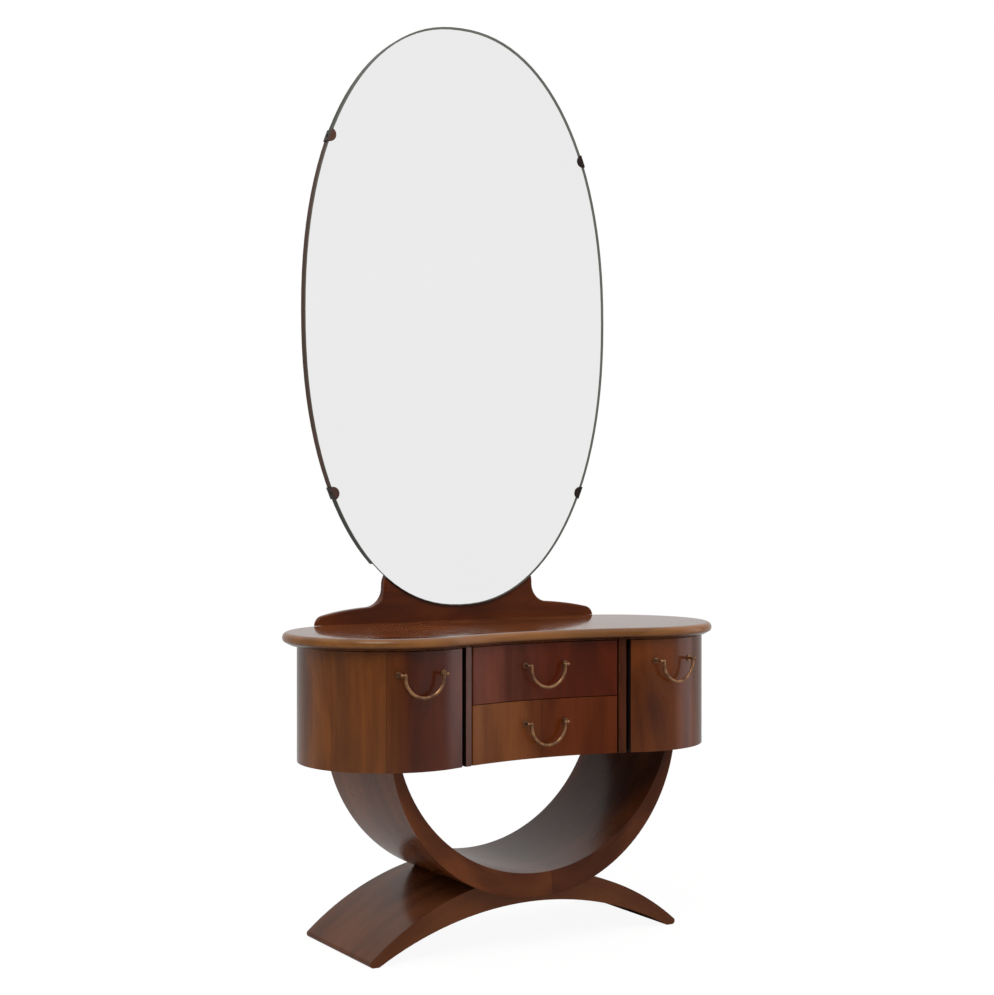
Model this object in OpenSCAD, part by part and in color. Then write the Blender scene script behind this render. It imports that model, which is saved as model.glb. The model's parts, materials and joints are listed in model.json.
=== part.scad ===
/* [Heights] */
// Height of the top surface above the floor
top_height = 636; // [605:1:665]
// Height of the underside of the body above the floor
body_bottom = 382; // [368:1:393]

/* [Plan outline] */
// Radius of the round ends of the body
end_radius = 179; // [172:1:186]
// Distance of the centre of each round end from the middle
end_centre_x = 273; // [266:1:285]
// Radius of the hollow front between the ends
front_radius = 677; // [630:1:740]
// How far the top stands out past the body all round
top_overhang = 25.5; // [20:0.5:30]
// How far the top lies behind an even overhang
top_set_back = 8; // [0:0.5:10]

/* [Carcass] */
// Thickness of the top board
top_thickness = 24; // [18:0.5:25]
// Radius of the rounded edge of the top board
top_edge_radius = 11; // [8:0.5:11.5]
// How far the slope under the edge of the top board reaches inward
top_under_width = 14; // [12:0.5:16]
// Height of the slope under the edge of the top board
top_under_rise = 7.5; // [4:0.5:8]
// Thickness of the bottom board
bottom_thickness = 14; // [12:0.5:18]
// Thickness of the partitions beside the drawers
partition_thickness = 14.5; // [12:0.5:16]
// Distance from the middle to the inner face of each partition
bay_half_width = 172; // [165:1:178]
// Thickness of the back panel
back_thickness = 10; // [8:0.5:12]
// Width of the strip that each door closes against
stop_width = 22; // [20:0.5:26]
// Thickness of the strip that each door closes against
stop_thickness = 12; // [10:0.5:14]
// Height of the runner under each side of the upper drawer
runner_height = 12; // [8:0.5:14]
// Size of the square glue blocks in the corners
block_size = 18; // [12:0.5:22]
// Distance between the front and rear glue blocks, from middle to middle
block_spacing = 160; // [140:1:180]

/* [Doors] */
// Thickness of the curved doors and end panels
door_thickness = 18; // [16:0.5:20]
// Dark gap between a stile and the free edge of a door
door_edge_gap = 9.5; // [4:0.5:11]
// Gap above the doors and the upper drawer front
head_gap = 1.5; // [1:0.5:3]
// Gap under the doors and the lower drawer front, kept small so the edges line up
foot_gap = 0.5; // [0.4:0.1:1]
// Room between the inside of the shut doors and what stands behind them
door_back_gap = 1.5; // [1:0.25:2.5]
// Angle round the end, from straight out to the right, at which the left door is hinged
hinge_angle = 132; // [125:1:134]
// Gap between the hinged edge of a door and the end panel
hinge_gap = 1.2; // [1:0.1:1.6]

/* [Hinges] */
// Height of each butt hinge
hinge_height = 50; // [40:1:60]
// Distance of the hinges from the top and bottom edges of the door
hinge_inset = 30; // [20:1:40]
// How far the pin stands outside the surface of the door
hinge_proud = 2.5; // [2:0.25:4]
// Radius of the hinge knuckles
knuckle_radius = 4; // [3.5:0.25:5]
// Radius of the hinge pin
hinge_pin_radius = 1.5; // [1.25:0.05:2]
// Thickness of the hinge leaves
leaf_thickness = 1.6; // [1.2:0.1:2]
// Width of the hinge leaves in the edge of the wood
leaf_width = 14; // [10:0.5:15]
// Radial room in a turning fit
turning_fit = 0.05; // [0.03:0.01:0.08]

/* [Drawers] */
// Height of the line between the two drawer fronts
drawer_line_height = 499; // [490:1:505]
// Gap between the two drawer fronts
drawer_line_gap = 1.5; // [1:0.5:3]
// Gap between a drawer front and the stile beside it
drawer_side_gap = 3.5; // [1.5:0.5:5]
// Thickness of a drawer front in the middle
drawer_front_thickness = 18; // [16:0.5:22]
// Thickness of the drawer sides and backs
drawer_side_thickness = 10; // [8:0.5:12]
// Thickness of the drawer bottoms
drawer_bottom_thickness = 5; // [4:0.5:6]
// Height of a drawer side
drawer_side_height = 88; // [75:1:90]
// Length of a drawer behind its front
drawer_length = 265; // [240:1:270]
// Depth of the grooves that hold a drawer bottom
groove_depth = 5; // [4:0.5:6]
// Height of the drawer bottom above the lower edge of the sides
groove_height = 9; // [7:0.5:12]
// Running room under and beside a drawer
drawer_running_gap = 0.3; // [0.2:0.1:0.5]

/* [Handles] */
// Distance between the arms of a bail
bail_width = 78; // [70:1:82]
// Depth of a bail below the line of its posts, to the middle of the bar
bail_drop = 44; // [40:1:52]
// Radius of the bar of a bail
bail_bar_radius = 3.25; // [2.5:0.25:3.75]
// Radius of the thin ends of a bail that turn in the posts
bail_end_radius = 2; // [1.5:0.25:2.25]
// Radius of the ball head of a post
post_ball_radius = 3.4; // [3.2:0.1:4.5]
// Gap between an arm of a bail and the ball head beside it
post_gap = 0.4; // [0.3:0.1:1.5]
// Radius of the stem of a post
post_stem_radius = 2.8; // [2:0.1:3.2]
// Radius of the collar at the foot of a post
post_collar_radius = 6; // [5:0.25:7]
// Thickness of the collar at the foot of a post
post_collar_thickness = 1.5; // [1:0.25:2]
// Distance of a handle's line of posts from the wood behind its middle
handle_standoff = 15; // [13:0.5:18]
// How deep a post goes into the wood
post_depth = 9; // [6:0.5:10]
// Distance of the door handles from the middle of the table
door_handle_x = 292; // [280:1:300]
// How far the drawer handles stand to the right of the middle of the table
drawer_handle_x = 8; // [0:1:12]
// Height of the handles of the doors and the upper drawer
upper_handle_height = 568; // [557:1:575]
// Height of the handle of the lower drawer
lower_handle_height = 453; // [445:1:460]

/* [Ring] */
// Outer radius of the ring
ring_outer_radius = 333; // [325:1:345]
// Height of the centre of the outer curve of the ring
ring_outer_centre = 437.5; // [429:0.5:445]
// Inner radius of the ring
ring_inner_radius = 322.5; // [316:0.5:328]
// Height of the centre of the inner curve of the ring
ring_inner_centre = 475.5; // [469:0.5:481]
// Width of the ring from front to back
ring_depth = 294; // [270:1:310]
// How far the middle of the ring lies behind the centres of the round ends
ring_set_back = 19.5; // [5:0.5:30]

/* [Foot] */
// Radius of the upper curve of the foot
foot_top_radius = 545.5; // [530:0.5:560]
// Height of the foot in the middle, where no ring is let in
foot_rise = 144; // [139:0.5:149]
// Radius of the hollow under the foot
foot_under_radius = 693.5; // [670:0.5:720]
// Height of the hollow under the foot in the middle
foot_hollow = 88; // [83:0.5:93]
// Radius of the rounded toes
toe_radius = 7; // [5:0.5:9]
// Width of the foot from front to back
foot_depth = 291; // [270:1:310]
// How far the middle of the foot lies behind the centres of the round ends
foot_set_back = 54; // [45:1:70]

/* [Mirror] */
// Half of the width of the glass
glass_half_width = 365; // [345:0.5:375]
// Half of the height of the glass
glass_half_height = 616.5; // [590:0.5:640]
// Height of the centre of the glass above the top surface
glass_centre_rise = 648.5; // [643:0.5:665]
// How full the oval is: 2 is an ellipse
oval_power = 2.18; // [2:0.01:2.4]
// Thickness of the glass
glass_thickness = 5; // [4:0.5:6]
// Thickness of the bracket and of the backing board
backing_thickness = 18; // [14:0.5:22]
// How far the backing board lies inside the edge of the glass
backing_inset = 1; // [0.5:0.5:5]
// Half of the distance between the upper and lower clips
clip_half_spacing = 368; // [350:0.5:375]
// How far the clips sit below even spacing about the middle of the glass
clip_drop = 8.5; // [0:0.5:12]
// Radius of the half-round clips
clip_radius = 14; // [11:0.5:16]
// Thickness of the clips
clip_thickness = 2.5; // [2:0.25:3.5]

/* [Bracket] */
// Half of the length of the bracket along the top
bracket_half_length = 340.5; // [320:0.5:345]
// Radius of the rounded outer ends of the bracket
bracket_tip_radius = 22; // [16:0.5:26]
// Slope of the shoulders of the bracket at their outer ends, in degrees
shoulder_slope = 12.5; // [9:0.5:15]
// Radius of the gentle rise of the shoulders
shoulder_rise_radius = 650; // [600:10:700]
// Radius of the hollow where a shoulder turns up
shoulder_radius = 40; // [34:1:42]
// Half of the width of the neck of the bracket
neck_half_width = 181; // [178:0.5:190]
// Radius of the corners at the top of the neck
neck_radius = 46; // [36:1:48]
// Height of the bracket behind the glass
bracket_height = 124; // [122:1:150]

/* [Uprights] */
// Thickness of the uprights behind the mirror
upright_thickness = 20; // [16:0.5:24]
// Width of the uprights
upright_width = 50; // [40:1:60]
// Distance of each upright from the middle
upright_x = 110; // [90:1:130]
// Height of the lower end of the uprights above the floor
upright_foot = 435; // [425:1:455]
// Height of the upper end of the uprights above the top surface
upright_rise = 940; // [900:1:980]
// Radius of the shanks of the wood screws
screw_radius = 2.1; // [1.75:0.05:2.5]

/* [Hidden] */
$fn = 96;
far = 600;
oval_points = 120;
arc_points = 12;

// Plan: the round ends, the hollow front that joins them and the straight back
end_centre_y = -upright_thickness / 2 - top_set_back;
front_sweep = asin(end_centre_x / (end_radius + front_radius));
front_centre_y = end_centre_y - (end_radius + front_radius) * cos(front_sweep);
front_middle_y = front_centre_y + front_radius;
back_y = end_centre_y + end_radius;
top_back_y = back_y + top_overhang + top_set_back;
door_inner_gap = door_thickness + door_back_gap;
join_lap = 0.3;
panel_play = 0.2;

// Heights of the carcass
top_bottom = top_height - top_thickness;
floor_z = body_bottom + bottom_thickness;
inside_height = top_bottom - floor_z;
front_bottom = body_bottom + foot_gap;
front_top = top_bottom - head_gap;

// Doors
stile_outer_x = bay_half_width + partition_thickness;
door_edge_x = stile_outer_x + door_edge_gap;
catch_radius = 3.5;
catch_nose = 1;
catch_nose_radius = 1.5;
catch_inset = 4;
catch_face_radius = end_radius - door_inner_gap;
catch_angle = asin((end_centre_x - door_edge_x - catch_inset) / catch_face_radius);
hinge_gap_angle = asin(hinge_gap / 2 / end_radius);
hinge_radius = end_radius + hinge_proud;
hinge_lows = [front_bottom + hinge_inset, front_top - hinge_inset - hinge_height];
leaf_play = 0.1;
knuckle_play = 0.3;
knuckle_room = 0.4;
knuckle_height = (hinge_height - 2 * knuckle_play) / 3;

block_ys = [end_centre_y - block_size - block_spacing / 2, end_centre_y - block_size + block_spacing / 2];

// Drawers
drawer_half_width = bay_half_width - drawer_side_gap;
drawer_flat_y = front_middle_y + drawer_front_thickness;
drawer_back_y = drawer_flat_y + drawer_length;
runner_clearance = 2;
runner_top = drawer_line_height + drawer_line_gap + runner_clearance + runner_height;
runner_width = drawer_side_gap + drawer_side_thickness;
lower_side_z = floor_z + drawer_running_gap;
upper_side_z = runner_top + drawer_running_gap;
groove_play = 0.2;
stop_post = 12;
stop_post_x = 90;
stop_post_rise = 30;

// Handles
bail_bend_radius = bail_width / 2;
bail_arm = bail_drop - bail_bend_radius;
post_spacing = bail_width + 2 * (bail_bar_radius + post_gap + post_ball_radius);
bail_end_x = post_spacing / 2 + post_ball_radius - 0.5;
drawer_handle_angle = asin(drawer_handle_x / front_radius);
door_handle_angle = -asin((door_handle_x - end_centre_x) / end_radius);

// Base
ring_y = end_centre_y + ring_set_back;
foot_y = end_centre_y + foot_set_back;
foot_top_centre = foot_rise - foot_top_radius;
foot_under_centre = foot_hollow - foot_under_radius;
toe_x = sqrt(pow(foot_top_radius - toe_radius, 2) - pow(toe_radius - foot_top_centre, 2));
ring_end_outer = sqrt(pow(ring_outer_radius, 2) - pow(ring_outer_centre - body_bottom, 2));
ring_end_inner = sqrt(pow(ring_inner_radius, 2) - pow(ring_inner_centre - body_bottom, 2));
dowel_x = (ring_end_outer + ring_end_inner) / 2;
dowel_radius = 4;
dowel_play = 0.05;
dowel_depth = 20;
dowel_end_play = 1;
dowel_spacing = 73;
dowel_ys = [for (i = [-1.5:1:1.5]) ring_y + i * dowel_spacing];
foot_screw_x = 45;
foot_screw_spacing = 140;
foot_screw_ys = [ring_y - foot_screw_spacing / 2, ring_y + foot_screw_spacing / 2];
foot_screw_length = 36;
foot_screw_head = 3;
foot_screw_z = foot_hollow - 1;

// Mirror
bracket_tip_drop = 2;
glass_z = top_height + glass_centre_rise;
glass_back_y = top_back_y - backing_thickness;
glass_front_y = glass_back_y - glass_thickness;
clip_wall = 1.5;
clip_screw_radius = 3;
clip_screw_height = 1.2;
clip_play = 0.3;
upright_top = top_height + upright_rise;
spacer_height = 90;
screw_play = 0.05;
spacer_rise = 10;
screw_margin = 25;
screw_end_play = 0.5;
screw_grip = 12;
upright_low_screws = [
    upright_foot + spacer_rise + screw_margin,
    upright_foot + spacer_rise + spacer_height - screw_margin
];
bracket_screw_z = top_height + 45;
upright_screw_spacing = 310;
upright_high_screws = [for (i = [2:-1:0]) upright_top - 2 * screw_margin - i * upright_screw_spacing];

// One point on an oval of half axes a and b, at angle t
function oval_point(a, b, t) = [
    a * sign(cos(t)) * pow(abs(cos(t)), 2 / oval_power),
    b * sign(sin(t)) * pow(abs(sin(t)), 2 / oval_power)
];
function oval(a, b) = [for (i = [0:oval_points - 1]) oval_point(a, b, 360 * i / oval_points)];
// Half of the width of the glass at height z from its centre
function oval_x(z) = glass_half_width * pow(1 - pow(abs(z) / glass_half_height, oval_power), 1 / oval_power);
// Direction square to the edge of the glass at height z, in degrees from level
function oval_normal(z) = atan2(
    sign(z) * pow(abs(z), oval_power - 1) / pow(glass_half_height, oval_power),
    pow(oval_x(z), oval_power - 1) / pow(glass_half_width, oval_power)
);
// Points on an arc about c, from angle a0 to angle a1
function arc(c, r, a0, a1) = [
    for (i = [0:arc_points]) let(a = a0 + (a1 - a0) * i / arc_points) c + r * [cos(a), sin(a)]
];

// Outline of the body in plan, made larger by grow on every side
module plan(grow = 0) {
    r = end_radius + grow;
    join_x = end_centre_x - r * sin(front_sweep);
    join_y = end_centre_y - r * cos(front_sweep);
    for (side = [-1, 1]) translate([side * end_centre_x, end_centre_y]) circle(r);
    difference() {
        polygon([
            [-join_x, join_y], [join_x, join_y],
            [end_centre_x, end_centre_y], [end_centre_x, end_centre_y + r],
            [-end_centre_x, end_centre_y + r], [-end_centre_x, end_centre_y]
        ]);
        translate([0, front_centre_y]) circle(front_radius - grow, $fn = 360);
    }
}

// Everything round the left end from the free edge of the door to the given angle
module left_end_sector(angle) {
    tip = [-end_centre_x + far * cos(angle), end_centre_y + far * sin(angle)];
    polygon([
        [-door_edge_x, end_centre_y], [-door_edge_x, -far], [-2 * far, -far],
        [-2 * far, tip[1]], tip, [-end_centre_x, end_centre_y]
    ]);
}

module level_slab(z, height) {
    translate([0, 0, z]) linear_extrude(height) children();
}

// Both sides of the table: the left one as drawn and the right one mirrored
module both_sides() {
    children();
    mirror([1, 0, 0]) children();
}

// A screw along Y whose flat head is flush with y = 0 and whose tip lies at y = -length
module screw_y(length, play = 0) {
    rotate([90, 0, 0]) cylinder(r = screw_radius + play, h = length);
    rotate([90, 0, 0]) cylinder(r1 = 2 * screw_radius + play, r2 = screw_radius + play, h = screw_radius);
}

// Cross-section of the rounded edge of the top, with its tip at x = 0 and the board on the side
// of +x, cut to a slope underneath
module edge_section() {
    intersection() {
        union() {
            translate([top_edge_radius, top_thickness - top_edge_radius]) circle(top_edge_radius);
            translate([top_edge_radius, 0]) square([top_under_width, top_thickness]);
        }
        polygon([
            [top_under_width, 0], [2 * top_under_width, -1], [2 * top_under_width, top_thickness + 1],
            [-1, top_thickness + 1], [-1, top_under_rise * (1 + 1 / top_under_width)]
        ]);
    }
}

// Half of the cross-section of the top, from x = 0 to the tip of its edge at x = reach
module top_section(reach) {
    square([reach - top_under_width, top_thickness]);
    translate([reach, 0]) mirror([1, 0]) edge_section();
}

// Cross-section of what is cut away along the hollow front of the top
module top_front_section(reach) {
    difference() {
        square([reach + top_under_width, top_thickness]);
        translate([reach, 0]) edge_section();
    }
}

// The hollow front is set back by join_lap, so that it crosses the round ends at a fine line
module top_board() {
    end_reach = end_radius + top_overhang;
    join_x = end_centre_x - end_reach * sin(front_sweep);
    join_y = end_centre_y - end_reach * cos(front_sweep);
    color([0.45, 0.24, 0.12]) translate([0, top_set_back, top_bottom]) {
        for (side = [-1, 1]) translate([side * end_centre_x, end_centre_y, 0])
            rotate([0, 0, side > 0 ? 180 : 0]) rotate_extrude() top_section(end_reach);
        translate([-end_centre_x, 0, 0]) rotate([90, 0, 90])
            linear_extrude(2 * end_centre_x) top_section(top_back_y - top_set_back);
        difference() {
            linear_extrude(top_thickness) polygon([
                [-join_x, join_y], [join_x, join_y],
                [end_centre_x, end_centre_y], [end_centre_x, end_radius / 2],
                [-end_centre_x, end_radius / 2], [-end_centre_x, end_centre_y]
            ]);
            translate([0, front_centre_y, 0]) rotate([0, 0, -90])
                rotate_extrude($fn = 360) top_front_section(front_radius - top_overhang + join_lap);
        }
    }
}

// Outline of the bottom board: clear of the doors and of the lower drawer front, and out to
// the end panels and back panel
module bottom_outline() {
    difference() {
        plan(-door_inner_gap);
        translate([-bay_half_width, -far]) square([2 * bay_half_width, far + drawer_flat_y + door_back_gap]);
    }
    intersection() {
        plan(-door_thickness - panel_play);
        for (side = [0, 1]) mirror([side, 0]) polygon([
            [-end_centre_x, end_centre_y],
            [-end_centre_x + far * cos(hinge_angle - 1), end_centre_y + far * sin(hinge_angle - 1)],
            [-end_centre_x, far]
        ]);
    }
    translate([-end_centre_x, end_centre_y]) square([2 * end_centre_x, end_radius - back_thickness]);
}

module dowel_holes() {
    for (y = dowel_ys) translate([-dowel_x, y, body_bottom - dowel_depth])
        cylinder(r = dowel_radius, h = dowel_depth + bottom_thickness / 2);
}

module bottom_board() {
    color([0.36, 0.20, 0.11]) difference() {
        level_slab(body_bottom, bottom_thickness) bottom_outline();
        both_sides() dowel_holes();
    }
}

module ring_dowels() {
    color([0.72, 0.55, 0.36]) both_sides() {
        for (y = dowel_ys) translate([-dowel_x, y, body_bottom - dowel_depth + dowel_end_play])
            cylinder(
                r = dowel_radius - dowel_play,
                h = dowel_depth - 2 * dowel_end_play + bottom_thickness / 2
            );
    }
}

module left_partition_shape() {
    difference() {
        level_slab(body_bottom, top_bottom - body_bottom) intersection() {
            plan();
            translate([-stile_outer_x, -far]) square([partition_thickness, far + back_y - back_thickness]);
        }
        level_slab(body_bottom - 1, bottom_thickness + 1) bottom_outline();
    }
}

module left_partition() {
    color([0.33, 0.16, 0.08]) left_partition_shape();
}

module right_partition() {
    color([0.33, 0.16, 0.08]) mirror([1, 0, 0]) left_partition_shape();
}

module back_panel() {
    color([0.50, 0.36, 0.22]) difference() {
        translate([-end_centre_x, back_y - back_thickness, body_bottom])
            cube([2 * end_centre_x, back_thickness, top_bottom - body_bottom]);
        upright_screw_holes(upright_low_screws);
    }
}

module left_end_panel_shape() {
    difference() {
        level_slab(body_bottom, top_bottom - body_bottom) intersection() {
            difference() {
                plan();
                plan(-door_thickness);
            }
            polygon([
                [-end_centre_x, end_centre_y],
                [-end_centre_x + far * cos(hinge_angle - hinge_gap_angle),
                 end_centre_y + far * sin(hinge_angle - hinge_gap_angle)],
                [-end_centre_x, far]
            ]);
        }
        left_hinge_pockets(-1);
    }
}

module left_end_panel() {
    color([0.40, 0.20, 0.10]) left_end_panel_shape();
}

module right_end_panel() {
    color([0.40, 0.20, 0.10]) mirror([1, 0, 0]) left_end_panel_shape();
}

// Strip beside the partition that follows the inside of the left door at its free edge
module left_door_stop_shape() {
    difference() {
        level_slab(floor_z, inside_height) intersection() {
            difference() {
                plan(-door_inner_gap);
                plan(-door_inner_gap - stop_thickness);
            }
            translate([-stile_outer_x - stop_width, end_centre_y - far]) square([stop_width, far]);
        }
        ball_catch_place() translate([0, -1, 0]) rotate([-90, 0, 0]) cylinder(r = catch_radius, h = far);
    }
}

module left_door_stop() {
    color([0.36, 0.20, 0.11]) left_door_stop_shape();
}

module right_door_stop() {
    color([0.36, 0.20, 0.11]) mirror([1, 0, 0]) left_door_stop_shape();
}

// Frame on the face of the left door stop: -y points square out to the inside of the door
module ball_catch_place() {
    translate([-end_centre_x, end_centre_y, (floor_z + top_bottom) / 2])
        rotate([0, 0, catch_angle]) translate([0, -catch_face_radius, 0]) children();
}

module ball_catches() {
    color([0.75, 0.60, 0.32]) both_sides() ball_catch_place() {
        rotate([-90, 0, 0]) cylinder(r = catch_radius - dowel_play, h = stop_thickness - 1);
        translate([0, catch_nose_radius - catch_nose, 0]) sphere(catch_nose_radius);
    }
}

module left_runner_shape() {
    translate([-bay_half_width, drawer_flat_y + runner_clearance, runner_top - runner_height])
        cube([runner_width, back_y - back_thickness - drawer_flat_y - runner_clearance, runner_height]);
}

module left_upper_runner() {
    color([0.62, 0.45, 0.28]) left_runner_shape();
}

module right_upper_runner() {
    color([0.62, 0.45, 0.28]) mirror([1, 0, 0]) left_runner_shape();
}

module glue_blocks() {
    color([0.66, 0.50, 0.32]) both_sides() {
        for (y = block_ys) {
            for (z = [floor_z, top_bottom - block_size]) {
                translate([-stile_outer_x - block_size, y, z]) cube([block_size, 2 * block_size, block_size]);
            }
        }
    }
}

// Short posts on the back panel that the drawers close against
module drawer_stops() {
    reach = back_y - back_thickness - drawer_back_y;
    color([0.66, 0.50, 0.32]) both_sides() {
        for (z = [lower_side_z + stop_post_rise, upper_side_z + stop_post_rise]) {
            translate([-stop_post - stop_post_x, drawer_back_y + drawer_running_gap, z])
                cube([stop_post, reach - drawer_running_gap, stop_post]);
        }
    }
}

module ring_cylinder(r, z, depth) {
    translate([0, ring_y, z]) rotate([90, 0, 0]) cylinder(r = r, h = depth, center = true, $fn = 180);
}

module ring() {
    color([0.35, 0.19, 0.10]) difference() {
        ring_cylinder(ring_outer_radius, ring_outer_centre, ring_depth);
        ring_cylinder(ring_inner_radius, ring_inner_centre, ring_depth + 2);
        translate([-far, ring_y - far, body_bottom]) cube(2 * far);
        both_sides() dowel_holes();
        foot_screw_holes();
    }
}

module foot_section() {
    lean = atan2(toe_radius - foot_top_centre, toe_x);
    difference() {
        translate([0, foot_top_centre]) circle(foot_top_radius, $fn = 180);
        translate([0, foot_under_centre]) circle(foot_under_radius, $fn = 180);
        translate([-2 * far, -2 * far]) square([4 * far, 2 * far]);
        for (side = [-1, 1]) scale([side, 1]) polygon([
            [toe_x, -far], [toe_x, toe_radius],
            [toe_x + far * cos(lean), toe_radius + far * sin(lean)], [3 * far, -far]
        ]);
    }
    for (side = [-1, 1]) translate([side * toe_x, toe_radius]) circle(toe_radius);
}

// Holes for the screws, with wider ones for their sunk heads
module foot_screw_holes() {
    both_sides() for (y = foot_screw_ys) translate([-foot_screw_x, y, 0]) {
        cylinder(r = screw_radius + screw_play, h = foot_screw_z + foot_screw_length + 1);
        cylinder(r = 2 * screw_radius + screw_play, h = foot_screw_z + foot_screw_head);
    }
}

module foot() {
    color([0.36, 0.20, 0.11]) difference() {
        translate([0, foot_y, 0]) rotate([90, 0, 0]) linear_extrude(foot_depth, center = true) foot_section();
        ring_cylinder(ring_outer_radius, ring_outer_centre, ring_depth);
        foot_screw_holes();
    }
}

module foot_screws() {
    color([0.70, 0.66, 0.58]) both_sides() for (y = foot_screw_ys) {
        translate([-foot_screw_x, y, foot_screw_z]) cylinder(r = screw_radius, h = foot_screw_length);
        translate([-foot_screw_x, y, foot_screw_z]) cylinder(r = 2 * screw_radius, h = foot_screw_head);
    }
}

// Right half of the edge of the bracket, from its tip to the top of its neck
function bracket_edge() = let(
    tip = [bracket_half_length - bracket_tip_radius, -bracket_tip_drop],
    rise = tip - (shoulder_rise_radius - bracket_tip_radius) * [sin(shoulder_slope), cos(shoulder_slope)],
    reach = shoulder_rise_radius + shoulder_radius,
    slope = asin((neck_half_width + shoulder_radius - rise[0]) / reach),
    hollow = rise + reach * [sin(slope), cos(slope)]
) concat(
    arc(tip, bracket_tip_radius, asin(bracket_tip_drop / bracket_tip_radius), 90 - shoulder_slope),
    arc(rise, shoulder_rise_radius, 90 - shoulder_slope, 90 - slope),
    arc(hollow, shoulder_radius, 270 - slope, 180),
    arc([neck_half_width - neck_radius, bracket_height - neck_radius], neck_radius, 0, 90)
);

module wall_slab(y, thickness) {
    translate([0, y + thickness, 0]) rotate([90, 0, 0]) linear_extrude(thickness) children();
}

module mirror_bracket() {
    right = bracket_edge();
    left = [for (i = [len(right) - 1:-1:0]) [-right[i][0], right[i][1]]];
    color([0.36, 0.16, 0.07]) difference() {
        intersection() {
            translate([0, 0, top_height])
                wall_slab(glass_back_y, backing_thickness) polygon(concat(right, left));
            level_slab(top_height - 1, 2 * far) translate([0, top_set_back]) plan(top_overhang);
        }
        upright_screw_holes([bracket_screw_z]);
    }
}

// The backing board stands on the bracket and follows the glass above it
module mirror_backing() {
    inner = oval(glass_half_width - backing_inset, glass_half_height - backing_inset);
    color([0.40, 0.28, 0.19]) difference() {
        translate([0, 0, glass_z]) wall_slab(glass_back_y, backing_thickness) intersection() {
            polygon(inner);
            translate([-far, bracket_height - glass_centre_rise]) square(2 * far);
        }
        upright_screw_holes(upright_high_screws);
    }
}

module mirror_glass() {
    color([0.90, 0.92, 0.92]) translate([0, 0, glass_z])
        wall_slab(glass_front_y, glass_thickness) polygon(oval(glass_half_width, glass_half_height));
}

// Frame with its origin on the edge of the glass at the clip, x outward and z along the edge
module clip_place(side, level) {
    z = level * clip_half_spacing - clip_drop;
    translate([side * oval_x(z), 0, glass_z + z])
        rotate([0, side > 0 ? -oval_normal(z) : 180 + oval_normal(z), 0]) children();
}

// A half-round tab over the face of the glass, on a wall that goes back to the backing board
module clip(side, level) {
    depth = glass_thickness + backing_thickness;
    color([0.30, 0.20, 0.15]) clip_place(side, level) {
        wall_slab(glass_front_y - clip_thickness, clip_thickness) intersection() {
            translate([clip_wall, 0]) circle(clip_radius);
            translate([-far, -far]) square([far + clip_wall, 2 * far]);
        }
        translate([clip_play, glass_front_y - clip_thickness, -clip_radius + 1])
            cube([clip_wall - clip_play, depth + clip_thickness, 2 * clip_radius - 2]);
        translate([-backing_inset + clip_play, glass_back_y + clip_play, -clip_radius + 1])
            cube([backing_inset, backing_thickness - clip_play, 2 * clip_radius - 2]);
    }
}

module upper_left_clip() { clip(-1, 1); }
module upper_right_clip() { clip(1, 1); }
module lower_left_clip() { clip(-1, -1); }
module lower_right_clip() { clip(1, -1); }

module clip_screws() {
    color([0.60, 0.52, 0.38]) for (side = [-1, 1]) for (level = [-1, 1]) clip_place(side, level) {
        translate([clip_wall, glass_back_y + backing_thickness / 2, 0])
            rotate([0, 90, 0]) cylinder(r = clip_screw_radius, h = clip_screw_height);
    }
}

module left_upright_shape() {
    difference() {
        translate([-upright_x - upright_width / 2, top_back_y, upright_foot])
            cube([upright_width, upright_thickness, upright_top - upright_foot]);
        upright_screw_holes(concat(upright_low_screws, [bracket_screw_z], upright_high_screws));
    }
}

module left_upright() {
    color([0.58, 0.42, 0.27]) left_upright_shape();
}

module right_upright() {
    color([0.58, 0.42, 0.27]) mirror([1, 0, 0]) left_upright_shape();
}

module upright_screw_holes(heights) {
    both_sides() for (z = heights) translate([-upright_x, top_back_y + upright_thickness, z])
        screw_y(screw_length(z) + screw_end_play, screw_play);
}

// The low screws reach through the spacer into the back panel, the others into the boards
function screw_length(z) = z < top_height
    ? upright_thickness + top_back_y - back_y + 0.8 * back_thickness
    : upright_thickness + screw_grip;

module upright_spacers() {
    color([0.58, 0.42, 0.27]) difference() {
        both_sides() translate([-upright_x - upright_width / 2, back_y, upright_foot + spacer_rise])
            cube([upright_width, top_back_y - back_y, spacer_height]);
        upright_screw_holes(upright_low_screws);
    }
}

module upright_screws() {
    color([0.70, 0.66, 0.58]) both_sides() {
        for (z = concat(upright_low_screws, [bracket_screw_z], upright_high_screws)) {
            translate([-upright_x, top_back_y + upright_thickness, z]) screw_y(screw_length(z));
        }
    }
}

// Frame at a hinge pin of the left door: x outward, y towards the door
module left_hinge_place(z) {
    translate([
        -end_centre_x + hinge_radius * cos(hinge_angle),
        end_centre_y + hinge_radius * sin(hinge_angle),
        z
    ]) rotate([0, 0, hinge_angle]) children();
}

// Room for the leaves and knuckles in the door (side 1) or in the end panel (side -1)
module left_hinge_pockets(side) {
    for (low = hinge_lows) left_hinge_place(low) scale([1, side, 1]) {
        translate([-hinge_proud - leaf_width, -hinge_gap, 0])
            cube([leaf_width + 2 * hinge_proud, hinge_gap + leaf_play + leaf_thickness, hinge_height]);
        translate([0, 0, -knuckle_play])
            cylinder(r = knuckle_radius + knuckle_room, h = hinge_height + 2 * knuckle_play);
    }
}

module leaf(side) {
    translate([-hinge_proud - leaf_width, side > 0 ? leaf_play : -leaf_play - leaf_thickness, 0])
        cube([leaf_width + hinge_proud, leaf_thickness, hinge_height]);
}

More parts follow.
